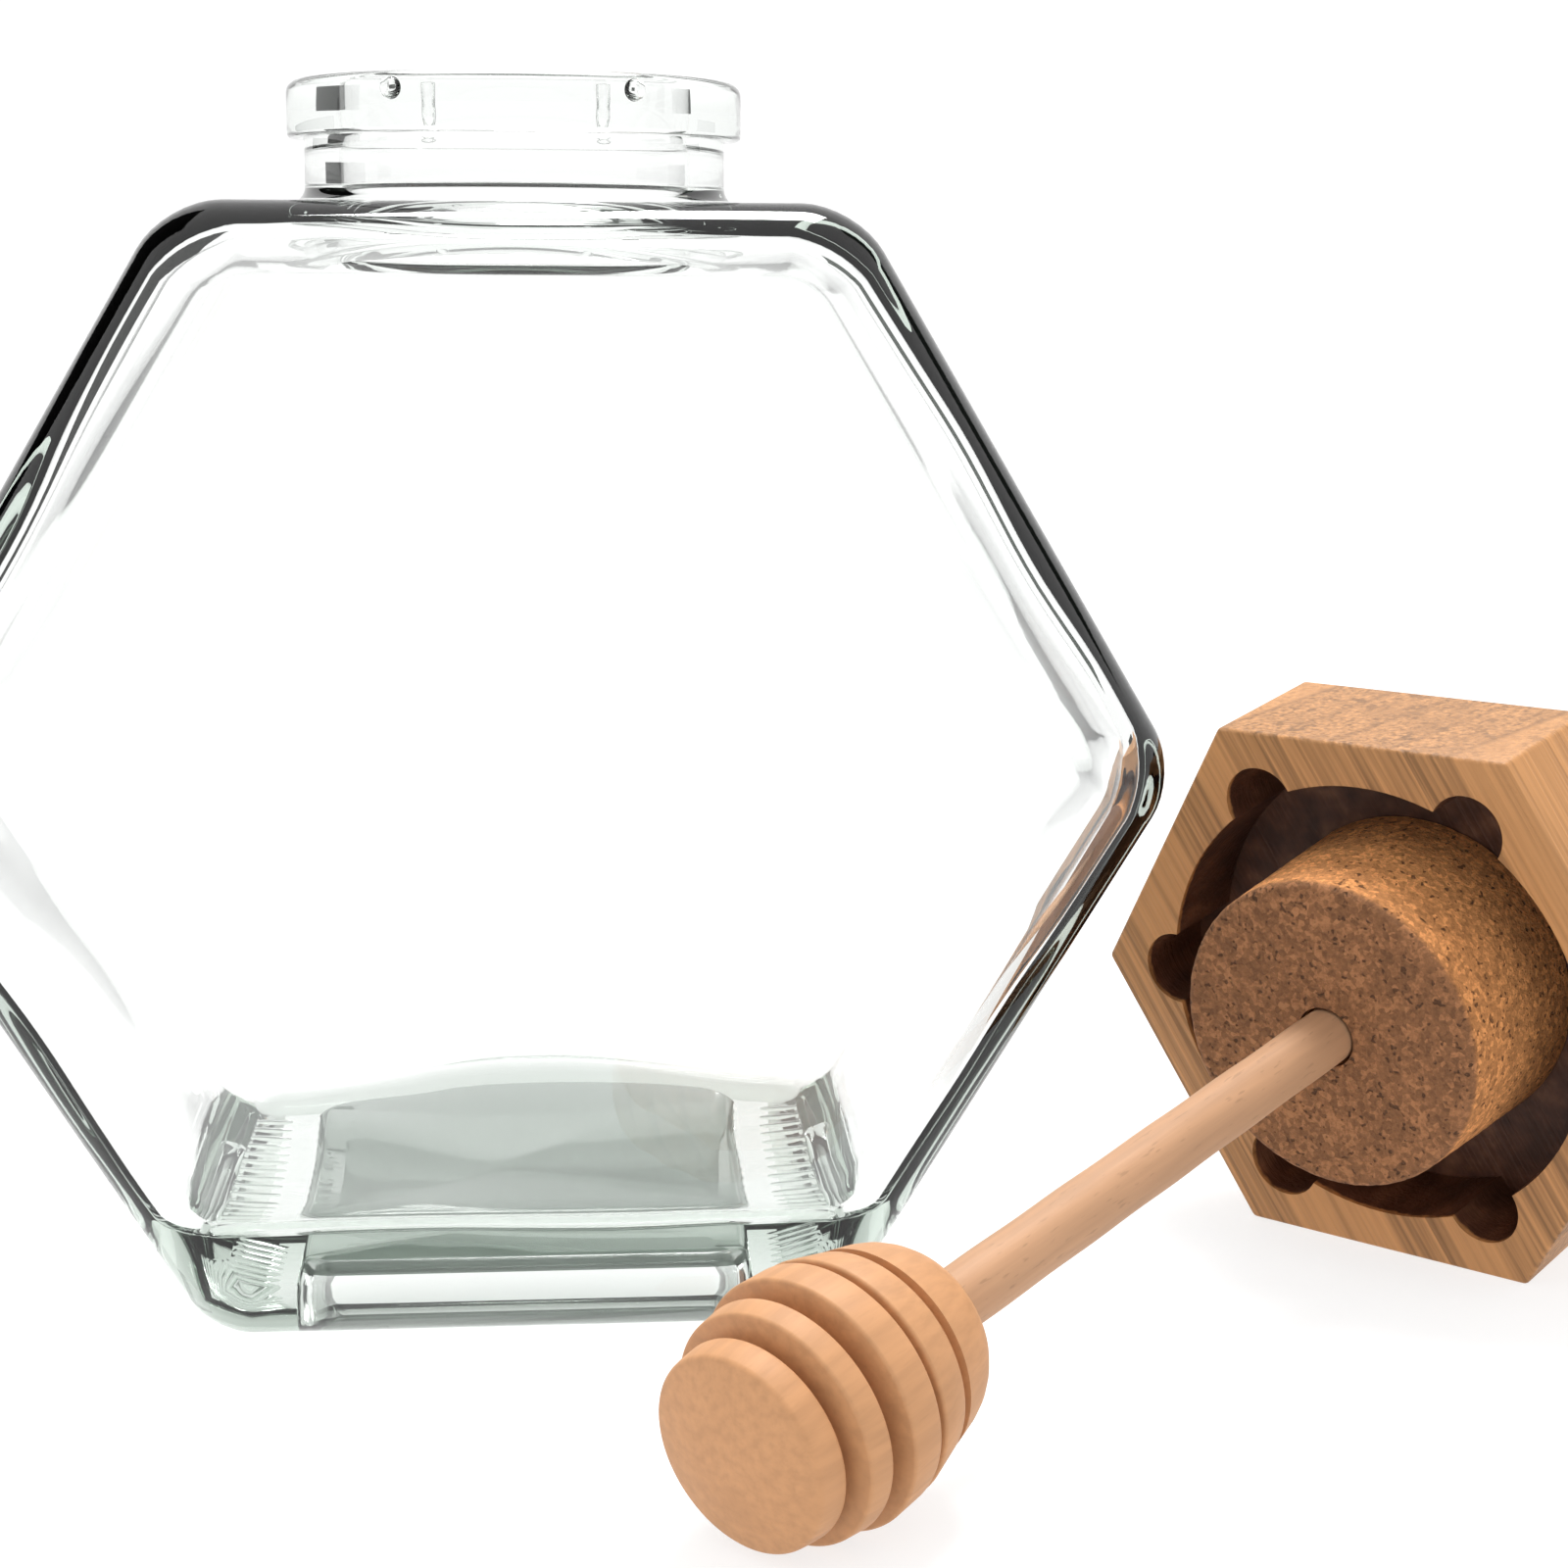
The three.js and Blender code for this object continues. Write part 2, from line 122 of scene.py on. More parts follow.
class JarSettings(bpy.types.PropertyGroup):
    """Sizes and tint of the glass jar."""

    waist_width: length("Waist width", "Width between the jar's side corners, before they are rounded", 115)
    shoulder_width: length("Shoulder width", "Width of the flat top", 57.2)
    base_width: length("Base width", "Width of the flat base", 54.9)
    waist_height: length("Waist height", "Height of the side corners", 49.2)
    body_height: length("Body height", "Height of the shoulder", 97.8)
    body_depth: length("Body depth", "Depth from front to back", 55)
    corner_radius: length("Corner radius", "Rounding of the outline's four upper corners", 8)
    heel_radius: length("Heel radius", "Rounding of the outline's two corners at the base", 6.5)
    edge_radius: length("Edge radius", "Rounding of the front and back edges", 6)
    wall: length("Wall", "Thickness of the glass walls", 3.2)
    inner_edge_radius: length("Inner edge radius", "Rounding of the hollow's front and back edges", 3.5)
    base_thickness: length("Base thickness", "Height of the floor inside over the ground", 9.3)
    floor_crown: length("Floor crown", "How far the middle of the floor inside rises at the back", 2.8)
    push_up_width: length("Push-up width", "Width of the pushed-up panel under the base", 41)
    push_up_depth: length("Push-up depth", "Depth of the panel from front to back", 40.5)
    push_up_height: length("Push-up height", "Height of the pushed-up panel under the base", 6.5)
    push_up_slope: length("Push-up slope", "How far the panel's walls lean in", 1.5)
    neck_radius: length("Neck radius", "Outer radius of the neck under its ring", 18.8)
    ring_radius: length("Ring radius", "Outer radius of the neck's ring", 20.3)
    mouth_radius: length("Mouth radius", "Radius of the mouth", 15.6)
    ring_bottom: length("Ring bottom", "Height of the ring's underside over the shoulder", 5.8)
    ring_top: length("Ring top", "Height of the rim over the shoulder", 10.8)
    wave: length("Wave", "How far the inner skin of the glass wanders", 1.6)
    tint: colour("Tint", "Colour that thick glass takes on", "#BFCFC3")
    # Painted shade: the panel's dark grey-green stands in for the shadowed floor under the jar
    panel_painted_shade: colour("Panel tint", "Colour of the pushed-up panel", "#5D6860")
    # Grey-green low in the base: partly the thick glass's own colour, partly painted shade of the floor under
    # the jar
    heel_tint_and_painted_shade: colour("Heel tint", "Colour of the thick glass low in the base", "#8D998F")


class LidSettings(bpy.types.PropertyGroup):
    """Sizes and colours of the bamboo lid and its cork."""

    radius: length("Radius", "Radius of the hexagon's corners", 29.5)
    thickness: length("Thickness", "Thickness of the lid", 15.8)
    recess_radius: length("Recess radius", "Radius of the round recess", 21.5)
    recess_depth: length("Recess depth", "Depth of the recess", 9.5)
    notch_radius: length("Notch radius", "Radius of the six notches", 3.6)
    notch_offset: length("Notch offset", "Distance of the notches from the lid's axis", 21.3)
    strip_width: length("Strip width", "Width of the bamboo strips", 5.2)
    cork_end_radius: length("Cork end radius", "Radius of the cork's free end", 14.9)
    cork_root_radius: length("Cork root radius", "Radius of the cork in the recess", 15.5)
    cork_outstand: length("Cork outstand", "How far the cork stands out of the lid", 8.2)
    bamboo: colour("Bamboo", "Colour of the bamboo", "#AA7A4D")
    # Painted light: the cork's end gets a darker colour as if in shade, and its side a lighter one as if lit
    cork: colour("Cork", "Colour of the cork's end", "#83593A")
    cork_side_lit: colour("Cork side", "Colour of the cork's side", "#BF824E")


class DipperSettings(bpy.types.PropertyGroup):
    """Sizes and colours of the dipper."""

    stick_radius: length("Stick radius", "Radius of the stick", 2.6)
    head_start: length("Head start", "Distance of the head from the lid's face", 67.2)
    head_end: length("Head end", "Distance of the head's tip from the lid's face", 90.6)
    head_radius: length("Head radius", "Radius of the widest ring", 10.2)
    stick: colour("Stick", "Colour of the stick", "#B38A69")
    head: colour("Head", "Colour of the head", "#BF8D63")


# How the lid lies, as seen from the jar's middle: turned from facing the front, on its lower front edge
LID_EDGE_X = 82 * MM
LID_EDGE_Y = -7.9 * MM
LID_HEADING = math.radians(46)
LID_CHAMFER = 0.4 * MM
WIDEST_RING_FRONT = 81.7 * MM


def lid_apothem(lid):
    """Distance from the lid's axis to its flat sides."""
    return lid.radius * math.cos(math.pi / 6)


def lid_turn(lid, dipper):
    """Turn of the lid's own frame, whose Z is the lid's axis and points out of its open face."""
    lean = math.atan2(lid_apothem(lid) - dipper.head_radius, WIDEST_RING_FRONT + LID_CHAMFER)
    return Euler((math.pi / 2 + lean, 0, -LID_HEADING)), lean


def lid_place(context):
    """Matrix from the lid's own frame, with its open face at z = 0, to the row's frame."""
    settings = context.scene.honey_jar
    turn, lean = lid_turn(settings.lid, settings.dipper)
    edge = Vector((JAR_X + LID_EDGE_X, JAR_Y + LID_EDGE_Y, -LID_CHAMFER * math.sin(lean)))
    matrix = turn.to_matrix().to_4x4()
    matrix.translation = edge + turn.to_matrix() @ Vector((0, lid_apothem(settings.lid), 0))
    return matrix


# Modelling


def object_mode():
    """Leaves edit mode, if an object is open in it."""
    if bpy.context.mode != "OBJECT":
        bpy.ops.object.mode_set(mode="OBJECT")


def begin(name, add, **settings):
    """Adds a primitive with nothing else selected, and opens it for editing with all of it selected."""
    object_mode()
    bpy.ops.object.select_all(action="DESELECT")
    add(**settings)
    piece = bpy.context.object
    piece.name = name
    bpy.ops.object.transform_apply(location=True, rotation=True, scale=True)
    bpy.ops.object.mode_set(mode="EDIT")
    bpy.ops.mesh.select_all(action="SELECT")
    return piece


def open_only(piece):
    """Selects and activates one object, in object mode."""
    object_mode()
    bpy.ops.object.select_all(action="DESELECT")
    piece.select_set(True)
    bpy.context.view_layer.objects.active = piece


def pick(kind, test):
    """Selects, in edit mode, just the vertices, edges or faces that pass a test."""
    bpy.ops.mesh.select_mode(type=kind)
    bpy.ops.mesh.select_all(action="DESELECT")
    mesh = bmesh.from_edit_mesh(bpy.context.object.data)
    parts = {"VERT": mesh.verts, "EDGE": mesh.edges, "FACE": mesh.faces}[kind]
    for part in parts:
        if test(part):
            part.select_set(True)
    mesh.select_flush_mode()
    bmesh.update_edit_mesh(bpy.context.object.data)


def middle(part):
    """Mean place of an edge's or a face's corners."""
    return sum((v.co for v in part.verts), Vector()) / len(part.verts)


def extrude_rings(profile, x=0.0, y=0.0):
    """Extrudes the selected ring through (radius, height) pairs, the first of which is where it is now."""
    for (radius, height), (next_radius, next_height) in zip(profile, profile[1:]):
        bpy.ops.mesh.extrude_edges_indiv()
        bpy.ops.transform.translate(value=(0, 0, next_height - height))
        growth = next_radius / radius
        bpy.ops.transform.resize(value=(growth, growth, 1), center_override=(x, y, next_height))


def turned(name, profile, steps):
    """A turned solid about Z: rings through the profile, both ends closed to a point on the axis."""
    radius, height = profile[0]
    piece = begin(
        name, bpy.ops.mesh.primitive_circle_add, vertices=steps, radius=radius, location=(0, 0, height)
    )
    bpy.ops.mesh.select_mode(type="EDGE")
    extrude_rings(profile)
    for end in (profile[0][1], profile[-1][1]):
        pick("EDGE", lambda edge: edge.is_boundary and abs(middle(edge).z - end) < NEAR)
        bpy.ops.mesh.extrude_edges_indiv()
        bpy.ops.mesh.merge(type="CENTER")
    tidy_normals()
    return piece


def tidy_normals():
    """Merges doubles and turns all faces of the open object outwards."""
    bpy.ops.mesh.select_all(action="SELECT")
    bpy.ops.mesh.remove_doubles(threshold=0.001 * MM)
    bpy.ops.mesh.normals_make_consistent(inside=False)


def apply_modifier(piece, kind, **settings):
    """Adds a modifier and applies it."""
    open_only(piece)
    modifier = piece.modifiers.new(kind.title(), kind)
    for key, value in settings.items():
        setattr(modifier, key, value)
    bpy.ops.object.modifier_apply(modifier=modifier.name)


def combine(piece, other, operation):
    """Joins, cuts or keeps the overlap of a piece with another, which is then removed."""
    object_mode()
    apply_modifier(piece, "BOOLEAN", object=other, operation=operation, solver="EXACT")
    bpy.data.objects.remove(other)


def join(pieces):
    """Puts the meshes of several objects in the first one."""
    object_mode()
    bpy.ops.object.select_all(action="DESELECT")
    for piece in pieces:
        piece.select_set(True)
    bpy.context.view_layer.objects.active = pieces[0]
    bpy.ops.object.join()
    return pieces[0]


def arc(centre, radius, start, end, steps=4):
    """Points of an arc in a profile, between two angles in degrees."""
    angles = [math.radians(start + (end - start) * i / steps) for i in range(steps + 1)]
    return [(centre[0] + radius * math.cos(a), centre[1] + radius * math.sin(a)) for a in angles]


def clouds(name, size):
    """A smooth noise for a Displace modifier."""
    texture = bpy.data.textures.new(name, "CLOUDS")
    texture.noise_scale = size
    texture.noise_depth = 1
    return texture


def settle(piece, matrix, smooth_angle, node, material):
    """Puts a finished mesh in its place, gives it its finish, and hides the CAD part that it replaces."""
    object_mode()
    piece.data.transform(matrix)
    open_only(piece)
    bpy.ops.object.shade_smooth_by_angle(angle=math.radians(smooth_angle))
    piece.data.materials.clear()
    piece.data.materials.append(material)
    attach(piece, "root")
    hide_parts(node)
    return piece


# Finishes

# Heading of the bamboo's fibres in the lid's face, and how far its strips lean over for each length of depth
FIBRE_HEADING = math.radians(120)
STRIP_LEAN = 0.23

# The painted shade on the base's panel, a dull dark skin that stands in for the shadowed floor under the jar:
# how far it reaches past the panel's edge, how thick the layer is that holds it, and how much light it still
# lets through
PANEL_MARGIN = 0.2 * MM
PANEL_LAYER = 1.3 * MM
PANEL_CLEARNESS = 0.3


def add_node(tree, kind, inputs=(), stops=None, **settings):
    """Adds a node with its settings. Its inputs, by name or in order, are values, nodes or their sockets."""
    node = tree.nodes.new("ShaderNode" + kind)
    for key, value in settings.items():
        setattr(node, key, value)
    if stops:
        elements = node.color_ramp.elements
        while len(elements) < len(stops):
            elements.new(0.5)
        for element, (place, tone) in zip(elements, stops):
            element.position = place
            element.color = tone
    for key, value in inputs.items() if isinstance(inputs, dict) else enumerate(inputs):
        socket = node.inputs[key] if isinstance(key, int) else enabled(node.inputs, key)
        if isinstance(value, bpy.types.Node):
            value = enabled(value.outputs)
        if isinstance(value, bpy.types.NodeSocket):
            tree.links.new(value, socket)
        else:
            socket.default_value = value
    return node


def enabled(sockets, name=None):
    """The first socket that a node uses with its settings, of a name if one is given."""
    return next(socket for socket in sockets if socket.enabled and name in (None, socket.name))


def finish(name):
    """A material of its own, with an empty tree."""
    material = bpy.data.materials.new(name)
    material.use_nodes = True
    material.node_tree.nodes.clear()
    return material, material.node_tree


def shaded(tone, factor=1.0):
    """A colour with full alpha, made darker or lighter."""
    return (*[min(1.0, part * factor) for part in tone], 1.0)


def lid_coordinates(tree, context):
    """Coordinates of the lid's own frame: Z is its axis, from its face towards the dipper's tip."""
    settings = context.scene.honey_jar
    return add_node(
        tree,
        "Mapping",
        {
            "Vector": add_node(tree, "TexCoord").outputs["Object"],
            "Location": lid_place(context).translation,
            "Rotation": lid_turn(settings.lid, settings.dipper)[0],
        },
        vector_type="TEXTURE",
    )


def per_size(*millimetres):
    """Mapping scales that make one unit of a pattern a real size, along X, Y and Z."""
    return [1 / (size * MM) for size in millimetres]


def dull_surface(tree, tone, height, relief, roughness):
    """A surface with no gloss coat and a fine relief, whose depth is in millimetres."""
    bumped = add_node(tree, "Bump", {"Height": height, "Distance": relief * MM})
    inputs = {"Base Color": tone, "Roughness": roughness, "Normal": bumped, "Specular IOR Level": 0.3}
    add_node(tree, "OutputMaterial", {"Surface": add_node(tree, "BsdfPrincipled", inputs)})


def pressed_glass(jar):
    """Pressed soda-lime glass: clear and fire polished, grey-green where the light crosses much of it.

    The panel under the base is dull, partly opaque and dark grey-green: painted shade standing in for the
    shadowed floor under the jar. The glass low in the base has a grey-green tint that fades out upwards: partly
    the thick glass's own colour, partly painted shade. Both are matched to how the base looks through the jar.
    """
    material, tree = finish("pressed_soda_lime_glass")
    place = add_node(tree, "TexCoord").outputs["Object"]
    height = add_node(tree, "SeparateXYZ", (place,)).outputs["Z"]
    # Grey-green tint low in the base, fading out upwards: partly the thick glass's own colour, partly painted
    # shade of the floor under the jar
    fade = {"From Min": 1 * MM, "From Max": jar.push_up_height, "To Min": 0.8, "To Max": 0.0}
    low = add_node(tree, "MapRange", {"Value": height, **fade}, interpolation_type="SMOOTHSTEP")
    inputs = {"Factor": low, "A": (1, 1, 1, 1), "B": shaded(jar.heel_tint_and_painted_shade)}
    heel_tinted_and_shaded = add_node(tree, "Mix", inputs, data_type="RGBA")
    # Painted shade: the panel under the base is made dark grey-green and partly dull, standing in for the
    # shadowed floor under the jar
    panel = {
        "Vector": place,
        "Location": (JAR_X, JAR_Y, jar.push_up_height),
        "Scale": (jar.push_up_width / 2 + PANEL_MARGIN, jar.push_up_depth / 2 + PANEL_MARGIN, PANEL_LAYER),
    }
    from_panel = add_node(tree, "Mapping", panel, vector_type="TEXTURE")
    unsigned = add_node(tree, "VectorMath", (from_panel,), operation="ABSOLUTE")
    parts = add_node(tree, "SeparateXYZ", (unsigned,))
    sideways = add_node(tree, "Math", (parts.outputs["X"], parts.outputs["Y"]), operation="MAXIMUM")
    farthest = add_node(tree, "Math", (sideways, parts.outputs["Z"]), operation="MAXIMUM")
    on_panel = add_node(tree, "Math", (farthest, 1.0), operation="LESS_THAN")
    inputs = {"Factor": on_panel, "A": heel_tinted_and_shaded, "B": shaded(jar.panel_painted_shade)}
    tint = add_node(tree, "Mix", inputs, data_type="RGBA")
    clear = add_node(tree, "MapRange", {"Value": on_panel, "To Min": 1.0, "To Max": PANEL_CLEARNESS})
    inputs = {"Roughness": 0.0, "IOR": 1.52, "Transmission Weight": clear, "Base Color": tint}
    surface = add_node(tree, "BsdfPrincipled", inputs)
    absorption = add_node(tree, "VolumeAbsorption", {"Color": shaded(jar.tint), "Density": 22.0})
    add_node(tree, "OutputMaterial", {"Surface": surface, "Volume": absorption})
    return material


def laminated_bamboo(context):
    """Laminated bamboo, sanded: brown fibres, glued strips in slightly different tones, and a very dark brown
    recess.
    """
    lid = context.scene.honey_jar.lid
    tone = lid.bamboo
    material, tree = finish("laminated_bamboo")
    local = lid_coordinates(tree, context)
    turned_along = {"Vector": local, "Rotation": (0, 0, FIBRE_HEADING)}
    along = add_node(tree, "Mapping", turned_along, vector_type="TEXTURE")
    noises = {}
    for name, sizes, detail in (
        ("fibres", (24, 0.5, 0.5), 3.0),
        ("streaks", (40, 0.9, 1.1), 2.0),
        ("bands", (60, 2.2, 3.0), 1.0),
    ):
        place = add_node(tree, "Mapping", {"Vector": along, "Scale": per_size(*sizes)})
        noises[name] = add_node(tree, "TexNoise", {"Vector": place, "Scale": 1.0, "Detail": detail})
    stops = [(0.34, 0.62), (0.45, 0.9), (0.55, 1.05), (0.68, 1.32)]
    stops = [(place, shaded(tone, factor)) for place, factor in stops]
    painted = add_node(tree, "ValToRGB", (noises["fibres"],), stops=stops)

    # Strips lean through the thickness of the lid, each in a tone of its own
    parts = add_node(tree, "SeparateXYZ", (along,))
    inputs = (parts.outputs["Z"], -STRIP_LEAN, parts.outputs["Y"])
    across = add_node(tree, "Math", inputs, operation="MULTIPLY_ADD")
    strips = add_node(tree, "Math", (across, lid.strip_width), operation="DIVIDE")
    number = add_node(tree, "Math", (strips,), operation="FLOOR")
    strip_tone = add_node(tree, "TexWhiteNoise", {"W": number}, noise_dimensions="1D")
    from_start = add_node(tree, "Math", (strips,), operation="FRACT")
    from_middle = add_node(tree, "Math", (from_start, 0.5), operation="SUBTRACT")
    from_middle = add_node(tree, "Math", (from_middle,), operation="ABSOLUTE")
    for value, low, high, most, factor in (
        (noises["streaks"], 0.54, 0.68, 0.75, 0.4),
        (noises["bands"], 0.4, 0.65, 0.5, 0.75),
        (strip_tone.outputs["Value"], 0.2, 0.8, 0.6, 1.4),
        (from_middle, 0.4, 0.49, 0.45, 0.5),
    ):
        inputs = {"Value": value, "From Min": low, "From Max": high, "To Max": most}
        amount = add_node(tree, "MapRange", inputs, interpolation_type="SMOOTHSTEP")
        inputs = {"Factor": amount, "A": painted, "B": shaded(tone, factor)}
        painted = add_node(tree, "Mix", inputs, data_type="RGBA")
    inputs = {"Factor": recess_dark_mask(tree, local, lid), "A": painted, "B": recess_dark_brown(tree, local)}
    painted = add_node(tree, "Mix", inputs, data_type="RGBA")
    dull_surface(tree, painted, noises["fibres"], 0.15, 0.5)
    return material


def recess_dark_mask(tree, local, lid):
    """1 in the milled recess and its notches, with a slightly uneven upper edge."""
    parts = add_node(tree, "SeparateXYZ", (local,))
    flat = add_node(tree, "CombineXYZ", (parts.outputs["X"], parts.outputs["Y"], 0.0))
    radius = add_node(tree, "VectorMath", (flat,), operation="LENGTH").outputs["Value"]
    reach = lid.notch_offset + lid.notch_radius + 0.5 * MM
    inside = add_node(tree, "Math", (radius, reach), operation="LESS_THAN")
    place = add_node(tree, "Mapping", {"Vector": local, "Scale": per_size(1.0, 1.0, 1.0)})
    ragged = add_node(tree, "TexNoise", {"Vector": place, "Scale": 1.0, "Detail": 2.0})
    height = add_node(tree, "Math", (ragged, 0.9 * MM, parts.outputs["Z"]), operation="MULTIPLY_ADD")
    inputs = {"Value": height, "From Min": 0.2 * MM, "From Max": -0.25 * MM}
    deep = add_node(tree, "MapRange", inputs, interpolation_type="SMOOTHSTEP")
    above_back = add_node(tree, "Math", (height, -lid.recess_depth - 1 * MM), operation="GREATER_THAN")
    milled = add_node(tree, "Math", (inside, deep), operation="MULTIPLY")
    return add_node(tree, "Math", (milled, above_back), operation="MULTIPLY")


def recess_dark_brown(tree, local):
    """Very dark brown, paler in cloudy patches."""
    place = add_node(tree, "Mapping", {"Vector": local, "Scale": per_size(3.0, 3.0, 6.0)})
    cloudy = add_node(tree, "TexNoise", {"Vector": place, "Scale": 1.0, "Detail": 3.0})
    stops = [(0.35, "#40261A"), (0.55, "#563627"), (0.75, "#75503A")]
    stops = [(place, shaded(srgb(code))) for place, code in stops]
    return add_node(tree, "ValToRGB", (cloudy,), stops=stops)


def agglomerated_cork(context):
    """Agglomerated cork, sanded: pressed brown granules under a millimetre, with dark pits and pale flecks."""
    lid = context.scene.honey_jar.lid
    material, tree = finish("agglomerated_cork")
    local = lid_coordinates(tree, context)
    # Painted light and shade: a lighter, lit colour on the side and a darker, shaded one on the end
    height = add_node(tree, "SeparateXYZ", (local,)).outputs["Z"]
    rim = {"From Min": lid.cork_outstand - 1.2 * MM, "From Max": lid.cork_outstand - 0.3 * MM}
    on_shaded_end = add_node(tree, "MapRange", {"Value": height, **rim}, interpolation_type="SMOOTHSTEP")
    inputs = {"Factor": on_shaded_end, "A": shaded(lid.cork_side_lit), "B": shaded(lid.cork)}
    tone = add_node(tree, "Mix", inputs, data_type="RGBA")
    places = []
    for size in (0.55, 0.35, 0.65, 5):
        inputs = {"Vector": local, "Scale": per_size(size, size, size)}
        places.append(add_node(tree, "Mapping", inputs))
    cells = add_node(tree, "TexVoronoi", {"Vector": places[0], "Scale": 1.0})
    fine = add_node(tree, "TexNoise", {"Vector": places[1], "Scale": 1.0, "Detail": 3.0, "Roughness": 0.6})
    pits = add_node(tree, "TexNoise", {"Vector": places[2], "Scale": 1.0, "Detail": 1.0})
    cloudy = add_node(tree, "TexNoise", {"Vector": places[3], "Scale": 1.0, "Detail": 1.0})
    granules = add_node(tree, "SeparateColor", (cells.outputs["Color"],)).outputs["Red"]
    mixed = add_node(tree, "Math", (fine, 0.54), operation="MULTIPLY")
    for noise, share in ((granules, 0.26), (cloudy, 0.2)):
        mixed = add_node(tree, "Math", (noise, share, mixed), operation="MULTIPLY_ADD")

    # The ramp holds half of each factor, because its colours end at 1, and the next node doubles it
    stops = [(0.3, 0.6), (0.42, 0.85), (0.53, 1.04), (0.66, 1.6)]
    stops = [(place, (factor / 2, factor / 2, factor / 2, 1)) for place, factor in stops]
    shades = add_node(tree, "ValToRGB", (mixed,), stops=stops)
    doubled = add_node(tree, "VectorMath", (shades, (2, 2, 2)), operation="MULTIPLY")
    granular = add_node(tree, "VectorMath", (tone, doubled), operation="MULTIPLY")
    inputs = {"Value": pits, "From Min": 0.64, "From Max": 0.73, "To Max": 0.75}
    amount = add_node(tree, "MapRange", inputs, interpolation_type="SMOOTHSTEP")
    inputs = {"Factor": amount, "A": granular, "B": shaded(lid.cork, 0.2)}
    pitted = add_node(tree, "Mix", inputs, data_type="RGBA")
    relief = add_node(tree, "Math", (fine, amount), operation="SUBTRACT")
    dull_surface(tree, pitted, relief, 0.22, 0.85)
    return material


def bare_beech(context, name, tone, flecks):
    """Bare beech, turned and sanded: faint long grain with short brown flecks, dull."""
    material, tree = finish(name)
    local = lid_coordinates(tree, context)
    noises = []
    for sizes, detail in (((0.9, 0.9, 18), 3.0), ((0.35, 0.35, 2.2), 1.0), ((5, 5, 14), 1.0)):
        place = add_node(tree, "Mapping", {"Vector": local, "Scale": per_size(*sizes)})
        noises.append(add_node(tree, "TexNoise", {"Vector": place, "Scale": 1.0, "Detail": detail}))
    stops = [(0.34, 0.91), (0.5, 1.0), (0.66, 1.07)]
    stops = [(place, shaded(tone, factor)) for place, factor in stops]
    painted = add_node(tree, "ValToRGB", (noises[0],), stops=stops)
    for noise, low, high, most, factor in (
        (noises[1], 0.64, 0.74, flecks, 0.6),
        (noises[2], 0.42, 0.68, 0.4, 0.85),
    ):
        inputs = {"Value": noise, "From Min": low, "From Max": high, "To Max": most}
        amount = add_node(tree, "MapRange", inputs, interpolation_type="SMOOTHSTEP")
        inputs = {"Factor": amount, "A": painted, "B": shaded(tone, factor)}
        painted = add_node(tree, "Mix", inputs, data_type="RGBA")
    dull_surface(tree, painted, noises[0], 0.05, 0.55)
    return material


# Jar


def half_width(jar, height, wall):
    """Half the width of the body at a height, inside a wall of some thickness."""
    low = (jar.waist_width - jar.base_width) / 2 / jar.waist_height
    high = (jar.waist_width - jar.shoulder_width) / 2 / (jar.body_height - jar.waist_height)
    if height <= jar.waist_height:
        return jar.base_width / 2 + low * height - wall * math.hypot(1, low)
    return jar.waist_width / 2 - high * (height - jar.waist_height) - wall * math.hypot(1, high)


def hexagonal_skin(name, jar, floor, wall, corner_radius, heel_radius, edge_radius, side_cuts, depth_steps):
    """One skin of the jar: a hexagonal slab with rounded corners and edges, and no top where it is flat."""
    top = jar.body_height - wall
    half_depth = jar.body_depth / 2 - wall
    front = JAR_Y - half_depth + edge_radius
    heights = (floor, jar.waist_height, top)
    widths = [half_width(jar, height, wall) for height in heights]
    skin = begin(
        name,
        bpy.ops.mesh.primitive_plane_add,
        size=1,
        location=(JAR_X, front, (floor + top) / 2),
        rotation=(math.pi / 2, 0, 0),
    )
    bpy.ops.transform.resize(
        value=(2 * widths[0], 1, top - floor), center_override=(JAR_X, front, (floor + top) / 2)
    )
    bpy.ops.mesh.bisect(plane_co=(JAR_X, front, jar.waist_height), plane_no=(0, 0, 1))
    for height, width in zip(heights[1:], widths[1:]):
        pick("VERT", lambda v: abs(v.co.z - height) < NEAR)
        bpy.ops.transform.resize(value=(width / widths[0], 1, 1), center_override=(JAR_X, front, height))
    bpy.ops.mesh.select_all(action="SELECT")
    bpy.ops.mesh.dissolve_limited(angle_limit=math.radians(1))
    above_heels = floor + 10 * MM
    for radius, test in (
        (heel_radius, lambda v: v.co.z < above_heels),
        (corner_radius, lambda v: v.co.z > above_heels),
    ):
        pick("VERT", test)
        bpy.ops.mesh.bevel(offset=radius * math.tan(math.pi / 6), segments=CORNER_STEPS, affect="VERTICES")
    pick("EDGE", lambda e: e.calc_length() > 2 * corner_radius)
    bpy.ops.mesh.subdivide(number_cuts=side_cuts)
    pick("EDGE", lambda e: e.is_boundary)
    for step in range(depth_steps):
        bpy.ops.mesh.extrude_edges_indiv()
        bpy.ops.transform.translate(value=(0, 2 * (half_depth - edge_radius) / depth_steps, 0))
    bpy.ops.mesh.edge_face_add()
    bpy.ops.mesh.select_all(action="SELECT")
    bpy.ops.mesh.normals_make_consistent(inside=False)
    for side in (-1, 1):
        pick("FACE", lambda f: f.normal.y * side > 0.99)
        for start, end in quarter(EDGE_STEPS):
            bpy.ops.mesh.inset(
                thickness=edge_radius * (math.cos(start) - math.cos(end)),
                depth=edge_radius * (math.sin(end) - math.sin(start)),
            )
    pick("FACE", lambda f: f.normal.z > 0.9999 and middle(f).z > top - NEAR)
    bpy.ops.mesh.delete(type="FACE")
    return skin


def quarter(steps):
    """The steps of a quarter turn, each as its start and its end."""
    angles = [math.pi / 2 * step / steps for step in range(steps + 1)]
    return list(zip(angles, angles[1:]))


